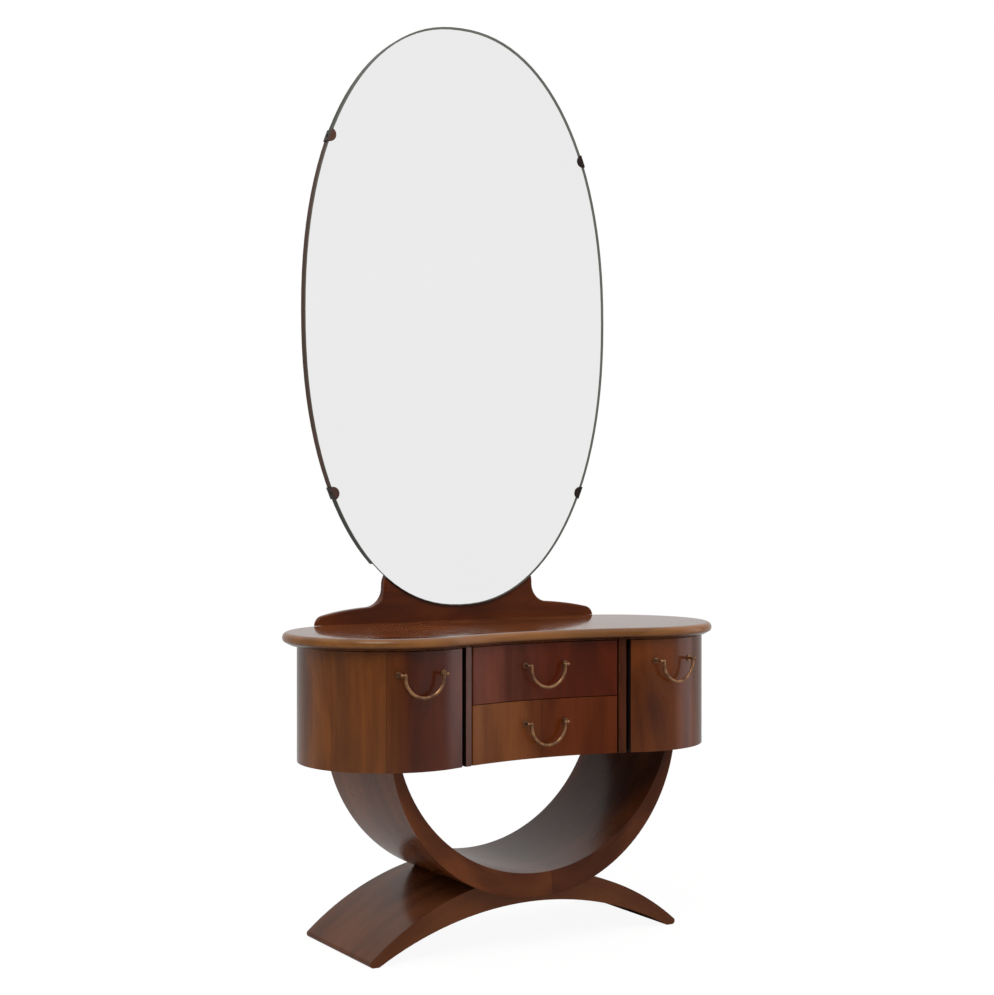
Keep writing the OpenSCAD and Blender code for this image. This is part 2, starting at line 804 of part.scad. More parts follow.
module fixed_hinge() {
    difference() {
        union() {
            leaf(-1);
            cylinder(r = knuckle_radius, h = knuckle_height);
            translate([0, 0, hinge_height - knuckle_height]) cylinder(r = knuckle_radius, h = knuckle_height);
        }
        translate([0, 0, knuckle_height])
            cylinder(r = knuckle_radius + knuckle_play, h = hinge_height - 2 * knuckle_height);
    }
    cylinder(r = hinge_pin_radius, h = hinge_height);
}

module moving_hinge() {
    difference() {
        union() {
            difference() {
                leaf(1);
                translate([0, 0, -1])
                    cylinder(r = knuckle_radius + knuckle_play, h = knuckle_height + knuckle_play + 1);
                translate([0, 0, hinge_height - knuckle_height - knuckle_play])
                    cylinder(r = knuckle_radius + knuckle_play, h = knuckle_height + knuckle_play + 1);
            }
            translate([0, 0, knuckle_height + knuckle_play]) cylinder(r = knuckle_radius, h = knuckle_height);
        }
        translate([0, 0, -1]) cylinder(r = hinge_pin_radius + turning_fit, h = hinge_height + 2);
    }
}

module left_fixed_hinges() {
    color([0.72, 0.58, 0.34]) for (low = hinge_lows) left_hinge_place(low) fixed_hinge();
}

module left_moving_hinges() {
    color([0.72, 0.58, 0.34]) for (low = hinge_lows) left_hinge_place(low) moving_hinge();
}

module right_fixed_hinges() {
    mirror([1, 0, 0]) left_fixed_hinges();
}

module right_moving_hinges() {
    mirror([1, 0, 0]) left_moving_hinges();
}

// Frames in front of a door or a drawer: x along the handle, y = 0 at the wood, -y outward
module left_handle_place() {
    translate([-end_centre_x, end_centre_y, upper_handle_height])
        rotate([0, 0, door_handle_angle]) translate([0, -end_radius, 0]) children();
}

module drawer_handle_place(z) {
    translate([0, front_centre_y, z])
        rotate([0, 0, -drawer_handle_angle]) translate([0, front_radius, 0]) children();
}

// The collars seat on the wood: seat is where it lies there, measured from behind the middle
door_post_seat = end_radius - sqrt(pow(end_radius, 2) - pow(post_spacing / 2 - post_collar_radius, 2));
drawer_post_seat = sqrt(pow(front_radius, 2) - pow(post_spacing / 2 + post_collar_radius, 2)) - front_radius;

module post_holes(seat) {
    for (side = [-1, 1]) translate([side * post_spacing / 2, seat + post_depth, 0])
        rotate([90, 0, 0]) cylinder(r = post_stem_radius, h = post_depth + handle_standoff);
}

// Turned posts: a stem with a collar at the wood and a ball head that the bail passes into
module posts(seat) {
    for (side = [-1, 1]) translate([side * post_spacing / 2, 0, 0]) difference() {
        rotate([90, 0, 0]) rotate([0, 0, 90]) rotate_extrude() intersection() {
            translate([0, -far]) square(2 * far);
            union() {
                translate([0, -seat - post_depth])
                    square([post_stem_radius - dowel_play, seat + post_depth + handle_standoff]);
                translate([0, -seat]) square([post_collar_radius, post_collar_thickness]);
                translate([0, handle_standoff]) circle(post_ball_radius);
            }
        }
        translate([0, -handle_standoff, 0]) rotate([0, 90, 0])
            cylinder(r = bail_end_radius + turning_fit, h = 4 * post_ball_radius, center = true);
    }
}

// A U bar whose ends turn outward into the posts
module bail() {
    translate([0, -handle_standoff, 0]) {
        for (side = [-1, 1]) scale([side, 1, 1]) {
            translate([bail_bend_radius, 0, 0]) sphere(bail_bar_radius);
            translate([bail_bend_radius, 0, -bail_arm]) cylinder(r = bail_bar_radius, h = bail_arm);
            translate([bail_bend_radius, 0, 0]) rotate([0, 90, 0])
                cylinder(r = bail_end_radius, h = bail_end_x - bail_bend_radius);
        }
        translate([0, 0, -bail_arm]) rotate([90, 180, 0])
            rotate_extrude(angle = 180) translate([bail_bend_radius, 0]) circle(bail_bar_radius);
    }
}

module left_door_shape() {
    difference() {
        level_slab(front_bottom, front_top - front_bottom) intersection() {
            difference() {
                plan();
                plan(-door_thickness);
            }
            left_end_sector(hinge_angle + hinge_gap_angle);
        }
        left_hinge_pockets(1);
        left_handle_place() post_holes(door_post_seat);
    }
}

module left_door() {
    color([0.30, 0.14, 0.05]) left_door_shape();
}

module right_door() {
    color([0.30, 0.14, 0.05]) mirror([1, 0, 0]) left_door_shape();
}

module left_door_posts() {
    color([0.60, 0.46, 0.30]) left_handle_place() posts(door_post_seat);
}

module left_door_bail() {
    color([0.60, 0.46, 0.30]) left_handle_place() bail();
}

module right_door_posts() {
    mirror([1, 0, 0]) left_door_posts();
}

module right_door_bail() {
    mirror([1, 0, 0]) left_door_bail();
}

module drawer_front(low, high, handle_height) {
    color([0.38, 0.19, 0.10]) difference() {
        level_slab(low, high - low) intersection() {
            plan();
            translate([-drawer_half_width, -far]) square([2 * drawer_half_width, far + drawer_flat_y]);
        }
        drawer_handle_place(handle_height) post_holes(drawer_post_seat);
    }
}

module drawer_side(low, side) {
    inner = drawer_half_width - drawer_side_thickness;
    color([0.68, 0.52, 0.34]) scale([side, 1, 1]) difference() {
        translate([inner, drawer_flat_y, low])
            cube([drawer_side_thickness, drawer_length, drawer_side_height]);
        translate([inner - 1, drawer_flat_y - 1, low + groove_height])
            cube([groove_depth + 1, drawer_length + 2, drawer_bottom_thickness + groove_play]);
    }
}

module drawer_back(low) {
    inner = drawer_half_width - drawer_side_thickness;
    base = low + groove_height + drawer_bottom_thickness + groove_play;
    color([0.68, 0.52, 0.34]) translate([-inner, drawer_back_y - drawer_side_thickness, base])
        cube([2 * inner, drawer_side_thickness, low + drawer_side_height - base]);
}

module drawer_bottom(low) {
    half = drawer_half_width - drawer_side_thickness + groove_depth - groove_play;
    color([0.74, 0.60, 0.42]) translate([-half, drawer_flat_y, low + groove_height + groove_play / 2])
        cube([2 * half, drawer_length, drawer_bottom_thickness]);
}

module upper_drawer_front() {
    drawer_front(drawer_line_height + drawer_line_gap / 2, front_top, upper_handle_height);
}
module upper_drawer_left_side() { drawer_side(upper_side_z, -1); }
module upper_drawer_right_side() { drawer_side(upper_side_z, 1); }
module upper_drawer_back() { drawer_back(upper_side_z); }
module upper_drawer_bottom() { drawer_bottom(upper_side_z); }
module upper_drawer_posts() {
    color([0.60, 0.46, 0.30]) drawer_handle_place(upper_handle_height) posts(drawer_post_seat);
}
module upper_drawer_bail() {
    color([0.60, 0.46, 0.30]) drawer_handle_place(upper_handle_height) bail();
}

module lower_drawer_front() {
    drawer_front(front_bottom, drawer_line_height - drawer_line_gap / 2, lower_handle_height);
}
module lower_drawer_left_side() { drawer_side(lower_side_z, -1); }
module lower_drawer_right_side() { drawer_side(lower_side_z, 1); }
module lower_drawer_back() { drawer_back(lower_side_z); }
module lower_drawer_bottom() { drawer_bottom(lower_side_z); }
module lower_drawer_posts() {
    color([0.60, 0.46, 0.30]) drawer_handle_place(lower_handle_height) posts(drawer_post_seat);
}
module lower_drawer_bail() {
    color([0.60, 0.46, 0.30]) drawer_handle_place(lower_handle_height) bail();
}

top_board();
bottom_board();
left_partition();
right_partition();
back_panel();
left_end_panel();
right_end_panel();
left_door_stop();
right_door_stop();
left_upper_runner();
right_upper_runner();
glue_blocks();
drawer_stops();
ball_catches();
ring();
foot();
ring_dowels();
foot_screws();
mirror_bracket();
mirror_backing();
mirror_glass();
upper_left_clip();
upper_right_clip();
lower_left_clip();
lower_right_clip();
clip_screws();
left_upright();
right_upright();
upright_spacers();
upright_screws();
left_fixed_hinges();
left_moving_hinges();
right_fixed_hinges();
right_moving_hinges();
left_door();
right_door();
left_door_posts();
left_door_bail();
right_door_posts();
right_door_bail();
upper_drawer_front();
upper_drawer_left_side();
upper_drawer_right_side();
upper_drawer_back();
upper_drawer_bottom();
upper_drawer_posts();
upper_drawer_bail();
lower_drawer_front();
lower_drawer_left_side();
lower_drawer_right_side();
lower_drawer_back();
lower_drawer_bottom();
lower_drawer_posts();
lower_drawer_bail();
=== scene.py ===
import json
import math

import bmesh
import bpy
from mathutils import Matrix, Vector

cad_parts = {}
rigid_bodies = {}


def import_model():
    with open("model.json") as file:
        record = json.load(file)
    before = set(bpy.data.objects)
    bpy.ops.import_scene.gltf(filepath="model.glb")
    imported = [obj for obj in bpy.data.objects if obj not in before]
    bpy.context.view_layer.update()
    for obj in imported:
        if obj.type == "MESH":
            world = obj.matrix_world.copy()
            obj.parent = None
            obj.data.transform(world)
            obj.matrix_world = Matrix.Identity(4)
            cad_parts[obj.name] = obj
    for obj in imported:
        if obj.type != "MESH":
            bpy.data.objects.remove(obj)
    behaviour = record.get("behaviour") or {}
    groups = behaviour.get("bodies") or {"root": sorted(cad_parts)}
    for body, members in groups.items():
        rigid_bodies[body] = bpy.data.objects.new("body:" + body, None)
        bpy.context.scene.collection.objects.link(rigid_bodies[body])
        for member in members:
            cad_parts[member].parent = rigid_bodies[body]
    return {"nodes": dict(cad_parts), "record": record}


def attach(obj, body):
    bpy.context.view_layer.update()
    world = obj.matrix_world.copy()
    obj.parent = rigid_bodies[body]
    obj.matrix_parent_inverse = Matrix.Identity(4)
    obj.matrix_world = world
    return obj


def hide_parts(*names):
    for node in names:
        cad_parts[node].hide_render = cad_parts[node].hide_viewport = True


for leftover in list(bpy.data.objects):
    bpy.data.objects.remove(leftover)
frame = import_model()
nodes = frame["nodes"]
slots = {part["node"]: part["material_slot"] for part in frame["record"]["subparts"]}
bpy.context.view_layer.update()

# Sizes that the finishes and new pieces share with the model, in metres
ring_centre_z = 0.457
ring_radius = 0.328
foot_centre_z = -0.4015
foot_radius = 0.5455
glass_centre_z = 1.2845
clip_rise = 0.368
door_edge_x = 0.196
drawer_half_width = 0.1685
stile_outer_x = 0.1865
top_z = 0.636
bracket_front_y = 0.1765

# Where the veneer leaves of the doors meet, and where the light edge of the top turns darker downwards, as
# painted shade under its rounded nose
leaf_joint_x = 0.357
edge_shade_begin = 0.624
edge_shade_end = 0.616

# The dark line along the edge of the mirror, which is wider at the right and the top
mirror_line_width = 0.0039
mirror_face_shift = (-0.0028, 0, -0.0016)

# Widths of the rounded edges, and the angles past which an edge is rounded or shaded as sharp
rounded_angle = math.radians(35)
crisp_angle = math.radians(50)
plain_edge = 0.0006
small_edge = 0.0003
drawer_edge = 0.0025
door_edge = 0.0015
bracket_edge = 0.004

# How far a corner may lie from a named place and still count as there
near = 0.0002


# Small helpers for shader nodes

def add(tree, kind, inputs=None, **settings):
    node = tree.nodes.new("ShaderNode" + kind)
    for name, value in settings.items():
        setattr(node, name, value)
    for name, value in (inputs or {}).items():
        if isinstance(value, bpy.types.NodeSocket):
            tree.links.new(value, node.inputs[name])
        else:
            node.inputs[name].default_value = value
    return node


def mix(tree, factor, first, second, blend="MIX"):
    node = add(tree, "Mix", {0: factor, 6: first, 7: second}, data_type="RGBA", blend_type=blend)
    return node.outputs[2]


def calc(tree, operation, first, second=0.0, third=0.0):
    return add(tree, "Math", {0: first, 1: second, 2: third}, operation=operation).outputs[0]


def spread(tree, value, low, high, to_low=0.0, to_high=1.0):
    return add(
        tree, "MapRange",
        {"Value": value, "From Min": low, "From Max": high, "To Min": to_low, "To Max": to_high},
        interpolation_type="SMOOTHSTEP",
    ).outputs["Result"]


def noise(tree, place, scale, detail=3.0, roughness=0.5, distortion=0.0):
    return add(
        tree, "TexNoise",
        {"Vector": place, "Scale": scale, "Detail": detail, "Roughness": roughness,
         "Distortion": distortion},
    ).outputs["Fac"]


def stretch(tree, place, scale):
    return add(tree, "VectorMath", {0: place, 1: scale}, operation="MULTIPLY").outputs[0]


def split(tree, place):
    return add(tree, "SeparateXYZ", {0: place}).outputs


def join(tree, x, y, z):
    return add(tree, "CombineXYZ", {0: x, 1: y, 2: z}).outputs[0]


def linear(code):
    """A colour given as a six-digit code, in the linear values that a shader takes."""
    parts = [int(code[i:i + 2], 16) / 255 for i in (0, 2, 4)]
    return tuple(c / 12.92 if c <= 0.04045 else ((c + 0.055) / 1.055) ** 2.4 for c in parts) + (1.0,)


# Groups that more than one finish uses

def make_group(name, inputs, outputs):
    group = bpy.data.node_groups.new(name, "ShaderNodeTree")
    for label, kind, value in inputs:
        socket = group.interface.new_socket(label, in_out="INPUT", socket_type="NodeSocket" + kind)
        if value is not None:
            socket.default_value = value
    for label, kind in outputs:
        group.interface.new_socket(label, in_out="OUTPUT", socket_type="NodeSocket" + kind)
    start = group.nodes.new("NodeGroupInput")
    end = group.nodes.new("NodeGroupOutput")
    return group, start.outputs, end.inputs


def make_figure_group():
    """Wood figure whose grain runs along z of the place that it is given."""
    group, given, result = make_group(
        "wood_figure",
        [("Place", "Vector", None), ("Dark", "Color", None), ("Light", "Color", None),
         ("Figure", "Float", 1.0), ("Shift", "Float", 0.0)],
        [("Color", "Color"), ("Shine", "Float"), ("Height", "Float")],
    )
    shift = join(group, given["Shift"], 0.0, given["Shift"])
    moved = add(group, "VectorMath", {0: given["Place"], 1: shift}, operation="ADD").outputs[0]
    broad = noise(group, stretch(group, moved, (9, 9, 3.6)), 1.0, 2.0, 0.5, 0.7)
    flame = noise(group, stretch(group, moved, (14, 14, 2.6)), 1.0, 4.0, 0.55, 1.1)
    streak = noise(group, stretch(group, moved, (150, 150, 5)), 1.0, 4.0, 0.6)
    pore = noise(group, stretch(group, moved, (1500, 1500, 42)), 1.0, 2.0, 0.6)
    tone = calc(group, "ADD", spread(group, broad, 0.3, 0.7), spread(group, flame, 0.3, 0.7))
    tone = calc(group, "MULTIPLY_ADD", tone, 0.4, calc(group, "MULTIPLY", streak, 0.22))
    centred = calc(group, "SUBTRACT", tone, 0.5)
    tone = add(
        group, "Math", {0: centred, 1: given["Figure"], 2: 0.5},
        operation="MULTIPLY_ADD", use_clamp=True,
    ).outputs[0]
    holes = spread(group, pore, 0.58, 0.72)
    colour = mix(group, tone, given["Dark"], given["Light"])
    colour = mix(group, calc(group, "MULTIPLY", holes, 0.35), colour, (0.012, 0.005, 0.003, 1))
    smear = noise(group, moved, 9.0, 3.0)
    shine = calc(group, "MULTIPLY_ADD", smear, 0.12, calc(group, "MULTIPLY", holes, 0.1))
    group.links.new(colour, result["Color"])
    group.links.new(shine, result["Shine"])
    group.links.new(calc(group, "SUBTRACT", calc(group, "MULTIPLY", streak, 0.4), holes), result["Height"])
    return group


def make_joint_group():
    """Two veneer leaves that mirror each other about a joint, with a fine dark line between."""
    group, given, result = make_group(
        "leaf_joint",
        [("Across", "Float", 0.0)],
        [("Mirrored", "Float"), ("Side", "Float"), ("Line", "Float")],
    )
    distance = calc(group, "ABSOLUTE", given["Across"])
    group.links.new(distance, result["Mirrored"])
    group.links.new(spread(group, given["Across"], -0.001, 0.001), result["Side"])
    group.links.new(spread(group, distance, 0.0002, 0.0008, 1.0, 0.0), result["Line"])
    return group


figure_group = make_figure_group()
joint_group = make_joint_group()


def object_place(tree):
    return add(tree, "TexCoord").outputs["Object"]


def turned_place(tree, grain):
    """The object's own coordinates, turned so that the grain runs along z."""
    x, y, z = split(tree, object_place(tree))
    if grain == "x":
        return z, y, x
    if grain == "y":
        return x, z, y
    return x, y, z


def arc_place(tree, centre_z, radius):
    """Coordinates for wood bent about a line along y: the grain follows the curve."""
    x, y, z = split(tree, object_place(tree))
    rise = calc(tree, "SUBTRACT", z, centre_z)
    angle = calc(tree, "ARCTAN2", x, calc(tree, "ABSOLUTE", rise))
    out = calc(tree, "SQRT", calc(tree, "MULTIPLY_ADD", x, x, calc(tree, "MULTIPLY", rise, rise)))
    return y, out, calc(tree, "MULTIPLY", angle, radius)


def new_material(name):
    material = bpy.data.materials.new(name)
    material.use_nodes = True
    tree = material.node_tree
    tree.nodes.clear()
    shader = add(tree, "BsdfPrincipled")
    tree.links.new(shader.outputs[0], add(tree, "OutputMaterial").inputs[0])
    return material, tree, shader


def beyond_clips(tree, colour, code):
    """Another colour for the rim of the mirror above the upper clips and below the lower ones."""
    rise = calc(tree, "SUBTRACT", split(tree, object_place(tree))["Z"], glass_centre_z)
    distance = calc(tree, "ABSOLUTE", rise)
    blend = 0.01
    share = spread(tree, distance, clip_rise - blend, clip_rise + blend)
    return mix(tree, share, colour, linear(code))


def wood(name, dark, light, grain="z", figure=1.0, shift=0.0, rough=0.15, arc=None, joint=None,
         side_tone="ffffff", painted_shade=None, edge_wear_highlight_code="8a5a3a", rim_code=None, polish=0.3):
    """Polished wood between a dark and a light tone.

    figure is the strength of the pattern and shift moves it. joint is the place where two leaves
    meet, and side_tone tints the leaf past it. painted_shade gives an axis, two places along it and
    a tone, which darkens the wood more and more from the first place to the second, as painted shade
    and reflection. edge_wear_highlight_code is the tone of the rounded edges, which are worn and also
    carry a painted highlight, rim_code the tone beyond the mirror clips, and polish the strength of
    reflections.
    """
    material, tree, shader = new_material(name)
    shader.inputs["Specular IOR Level"].default_value = polish
    x, y, z = arc_place(tree, *arc) if arc else turned_place(tree, grain)
    leaves = None
    if joint is not None:
        leaves = add(tree, "Group", node_tree=joint_group)
        tree.links.new(calc(tree, "SUBTRACT", z if arc else x, joint), leaves.inputs["Across"])
        if arc:
            z = leaves.outputs["Mirrored"]
        else:
            x = leaves.outputs["Mirrored"]
    pattern = add(tree, "Group", node_tree=figure_group)
    tree.links.new(join(tree, x, y, z), pattern.inputs["Place"])
    pattern.inputs["Dark"].default_value = linear(dark)
    pattern.inputs["Light"].default_value = linear(light)
    pattern.inputs["Figure"].default_value = figure
    pattern.inputs["Shift"].default_value = shift
    colour = pattern.outputs["Color"]
    if leaves:
        tinted = mix(tree, 1.0, colour, linear(side_tone), "MULTIPLY")
        colour = mix(tree, leaves.outputs["Side"], colour, tinted)
        colour = mix(tree, calc(tree, "MULTIPLY", leaves.outputs["Line"], 0.6), colour, linear("1a0b06"))
    # Painted shade: the wood darkens more and more along one axis, where less light falls on it or less is
    # reflected
    if painted_shade:
        axis, begin, end, tone = painted_shade
        share = spread(tree, split(tree, object_place(tree))[axis.upper()], begin, end)
        colour = mix(tree, share, colour, mix(tree, 1.0, colour, linear(tone), "MULTIPLY"))
    if rim_code:
        colour = beyond_clips(tree, colour, rim_code)
    # Lighter rounded edges in patches: wear, and a painted highlight along the edges
    edge_wear_and_highlight = add(tree, "Attribute", attribute_name="edge_wear_and_highlight").outputs["Fac"]
    patchy = spread(tree, noise(tree, object_place(tree), 28.0, 4.0), 0.4, 0.72)
    edge = calc(tree, "MULTIPLY", calc(tree, "MULTIPLY", edge_wear_and_highlight, patchy), 0.4)
    tree.links.new(mix(tree, edge, colour, linear(edge_wear_highlight_code)), shader.inputs["Base Color"])
    tree.links.new(calc(tree, "ADD", pattern.outputs["Shine"], rough), shader.inputs["Roughness"])
    bump = add(
        tree, "Bump", {"Height": pattern.outputs["Height"], "Strength": 0.2, "Distance": 0.0001}
    ).outputs[0]
    tree.links.new(bump, shader.inputs["Normal"])
    return material


def metal(name, colour, tarnish, rough, metallic=1.0):
    material, tree, shader = new_material(name)
    place = object_place(tree)
    patch = spread(tree, noise(tree, place, 70.0, 5.0), 0.35, 0.68)
    fine = noise(tree, place, 900.0, 2.0)
    tree.links.new(mix(tree, patch, linear(colour), linear(tarnish)), shader.inputs["Base Color"])
    tree.links.new(calc(tree, "MULTIPLY_ADD", patch, 0.18, rough), shader.inputs["Roughness"])
    bump = add(tree, "Bump", {"Height": fine, "Strength": 0.15, "Distance": 0.0001}).outputs[0]
    tree.links.new(bump, shader.inputs["Normal"])
    shader.inputs["Metallic"].default_value = metallic
    return material


def silvered_glass():
    material, tree, shader = new_material("silvered_glass")
    haze = noise(tree, object_place(tree), 2.5, 3.0)
    tint = mix(tree, haze, (0.935, 0.94, 0.935, 1), (0.96, 0.965, 0.96, 1))
    tree.links.new(tint, shader.inputs["Base Color"])
    tree.links.new(spread(tree, haze, 0.3, 0.8, 0.0, 0.03), shader.inputs["Roughness"])
    shader.inputs["Metallic"].default_value = 1.0
    return material


def plain(name, first, second, rough, rim_code=None):
    material, tree, shader = new_material(name)
    shader.inputs["Specular IOR Level"].default_value = 0.2
    patch = noise(tree, object_place(tree), 30.0, 4.0)
    colour = mix(tree, patch, linear(first), linear(second))
    if rim_code:
        colour = beyond_clips(tree, colour, rim_code)
    tree.links.new(colour, shader.inputs["Base Color"])
    tree.links.new(calc(tree, "MULTIPLY_ADD", patch, 0.15, rough), shader.inputs["Roughness"])
    return material


ring_arc = (ring_centre_z, ring_radius)
foot_arc = (foot_centre_z, foot_radius)

# Finishes of single pieces
finishes = {
    "top_board": wood("top_veneer", "341608", "744222", "x", figure=1.1, shift=0.3, rough=0.0, polish=0.5),
    "ring": wood("ring_veneer", "321408", "5f3216", shift=1.7, arc=ring_arc, joint=0.03,
                 side_tone="d8d0cc", polish=0.12),
    "foot": wood("foot_veneer", "351a0c", "5e341c", shift=4.1, arc=foot_arc, joint=0.0, polish=0.12),
    # Painted shade and reflection: the left door is lighter at its left end and darker towards its middle
    "left_door": wood("left_door_veneer", "2d1206", "6e3e18", figure=1.1, shift=2.3, joint=-leaf_joint_x,
                      side_tone="e8dcd4", painted_shade=("x", -0.36, -0.3, "bc8c68")),
    "right_door": wood("right_door_veneer", "341404", "602e0a", figure=1.1, shift=5.9, joint=leaf_joint_x,
                       polish=0.22),
    # Painted shade and reflection: the drawer fronts darken towards the right
    "upper_drawer_front": wood("upper_drawer_veneer", "3a1b11", "683729", shift=8.2,
                               painted_shade=("x", -0.12, 0.04, "d19e60"), polish=0.12),
    # Painted shade and reflection: darker towards the right
    "lower_drawer_front": wood("lower_drawer_veneer", "421e0b", "744624", shift=11.4, joint=0.0,
                               side_tone="f4e8e0", painted_shade=("x", -0.12, 0.06, "d8b080"), polish=0.12),
    "right_partition": wood("right_stile_veneer", "28110a", "4a2412", shift=10.3, polish=0.1),
    "mirror_bracket": wood("bracket_veneer", "381404", "68300c", "x", figure=1.1, shift=13.7, polish=0.12),
}

# Finishes of groups of pieces and of single faces
# Painted shade: the edge of the top darkens downwards, under its rounded nose
top_edge_wood = wood("top_edge_wood", "4e2c0e", "86582a", "x", shift=0.8,
                     painted_shade=("z", edge_shade_begin, edge_shade_end, "8a7060"), rough=0.12, polish=0.25)
body_veneer = wood("body_veneer", "2e130b", "552a18", shift=6.6)
dark_wood = wood("dark_wood", "2e170c", "52301c", "x", shift=9.1, rough=0.3)
backing_wood = wood("backing_wood", "33221a", "4a3428", shift=3.1, rough=0.35)
backing_rim = wood("backing_rim", "33221a", "4a3428", shift=3.1, rough=0.35, rim_code="2e3028", polish=0.1)
raw_wood = wood("raw_wood", "9b7a52", "c9a97a", shift=7.7, rough=0.5)
raw_wood_deep = wood("raw_wood_deep", "9b7a52", "cbab7c", "y", shift=1.2, rough=0.5)
raw_wood_long = wood("raw_wood_long", "8d6c47", "b8946a", "x", shift=5.2, rough=0.5)
clip_wood = wood("clip_wood", "2a1812", "553426", figure=0.8, shift=2.9, rough=0.2, edge_wear_highlight_code="6a4434")
# Painted shade: a darker copy of the clip wood, on the right clips and on the sides and back of the left
# clips
shaded_clip_wood = wood("shaded_clip_wood", "14100e", "2a201b", figure=0.8, shift=2.9, rough=0.3,
                      edge_wear_highlight_code="3a2c24", polish=0.1)
# Painted shade: nearly black, for the door stops and the sides of the gaps beside the doors, which lie in
# shade
gap_shade_black = plain("gap_shade_black", "0c0604", "1c0f0a", 0.5)
handle_brass = metal("handle_brass", "8e6a4a", "5a4030", 0.36, 0.85)
fitting_brass = metal("fitting_brass", "b8985a", "80663a", 0.3)
dark_brass = metal("dark_brass", "5a4630", "2e2218", 0.4)
screw_steel = metal("screw_steel", "a9a59c", "7d7a74", 0.3)
mirror_face = silvered_glass()
mirror_band = plain("mirror_edge_band", "4a4b47", "62645f", 0.25)
mirror_rim = plain("mirror_rim", "3a2820", "48342a", 0.3, rim_code="2e3028")

by_slot = {
    "body_veneer": body_veneer,
    "dark_wood": dark_wood,
    "backing_wood": backing_wood,
    "back_wood": raw_wood_long,
    "inside_wood": raw_wood,
    "dowel_wood": raw_wood,
    "clip_wood": clip_wood,
    "handle_brass": handle_brass,
    "fitting_brass": fitting_brass,
    "screw_steel": screw_steel,
}
along_y = ("drawer_left_side", "drawer_right_side", "upper_runner", "drawer_bottom")
along_x = ("drawer_back", "glue_blocks")


def finish_of(node):
    if node in finishes:
        return finishes[node]
    # Painted shade: the door stops lie in shade behind the gaps beside the doors
    if node.endswith("_door_stop"):
        return gap_shade_black
    if node == "clip_screws":
        return dark_brass
    # Painted shade: the right clips get the darker copy of the clip wood
    if node.endswith("right_clip"):
        return shaded_clip_wood
    if slots[node] == "inside_wood" and node.endswith(along_y):
        return raw_wood_deep
    if slots[node] == "inside_wood" and node.endswith(along_x):
        return raw_wood_long
    return by_slot[slots[node]]


# Wooden pieces: the model's own shapes with their sharp edges eased, worn and lit with a painted highlight

def merged_copy(node):
    bm = bmesh.new()
    bm.from_mesh(nodes[node].data)
    bmesh.ops.remove_doubles(bm, verts=bm.verts, dist=1e-5)
    bmesh.ops.dissolve_limit(
        bm, angle_limit=math.radians(0.4), use_dissolve_boundaries=False,
        verts=bm.verts, edges=bm.edges, delimit=set(),
    )
    return bm


def is_sharp(edge):
    return edge.is_manifold and edge.is_convex and edge.calc_face_angle() > rounded_angle


def round_edges(bm, edges, width, segments):
    return bmesh.ops.bevel(
        bm, geom=edges, offset=width, offset_type="OFFSET", segments=segments, profile=0.5,
        affect="EDGES", material=-1, clamp_overlap=True,
    )["faces"]


def upright_edges(bm, x):
    """The sharp edges that stand upright at the given distance from the middle, in front."""
    shortest = 0.05
    deepest = 0.02
    chosen = []
    for edge in bm.edges:
        first, second = [vert.co for vert in edge.verts]
        in_front = all(abs(abs(place.x) - x) < near and place.y < 0 for place in (first, second))
        if not is_sharp(edge) or not in_front or abs(first.z - second.z) <= shortest:
            continue
        back = max(first.y, second.y) + deepest
        if all(face.calc_center_median().y < back for face in edge.link_faces):
            chosen.append(edge)
    return chosen


def bracket_edges(bm):
    """The front edges of the bracket, apart from the one that lies on the top board."""
    return [
        edge for edge in bm.edges
        if is_sharp(edge)
        and all(abs(vert.co.y - bracket_front_y) < near for vert in edge.verts)
        and max(vert.co.z for vert in edge.verts) > top_z + 0.001
    ]


def ease(bm, width):
    """All sharp edges slightly rounded, and marked for the finish, which lightens them in patches as wear
    and as a painted highlight.
    """
    edge_wear_and_highlight = bm.faces.layers.float.new("edge_wear_and_highlight")
    sharp = [edge for edge in bm.edges if is_sharp(edge)]
    for face in round_edges(bm, sharp, width, 2):
        face[edge_wear_and_highlight] = 1.0


def new_piece(name, bm, body, slot, *materials):
    for face in bm.faces:
        face.smooth = True
    for edge in bm.edges:
        edge.smooth = edge.is_manifold and edge.calc_face_angle() < crisp_angle
    mesh = bpy.data.meshes.new(name)
    bm.to_mesh(mesh)
    bm.free()
    piece = bpy.data.objects.new(name, mesh)
    bpy.context.scene.collection.objects.link(piece)
    for material in materials:
        mesh.materials.append(material)
    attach(piece, body)
    return piece


def body_of(node):
    for body, members in frame["record"]["behaviour"]["bodies"].items():
        if node in members:
            return body


def shade_gap_sides(bm, x):
    """Painted shade: nearly black sides in the gap beside a door, at this distance from the middle, where
    the gap lies in shade.
    """
    for face in bm.faces:
        if abs(abs(face.calc_center_median().x) - x) < 0.0006 and abs(face.normal.x) > 0.95:
            face.material_index = 1


def finish_some(bm, chosen):
    """The second finish of a piece, on the chosen faces."""
    for face in bm.faces:
        face.material_index = int(chosen(face))


def on_top_edge(face):
    """The rounded edge of the top board, and not its flat faces."""
    return abs(face.normal.z) < 0.94


def on_backing_rim(face):
    """The narrow side of the board behind the glass."""
    return abs(face.normal.y) < 0.5


def on_clip_side(face):
    """The sides and the back of a mirror clip, which get painted shade."""
    return face.normal.y > -0.5


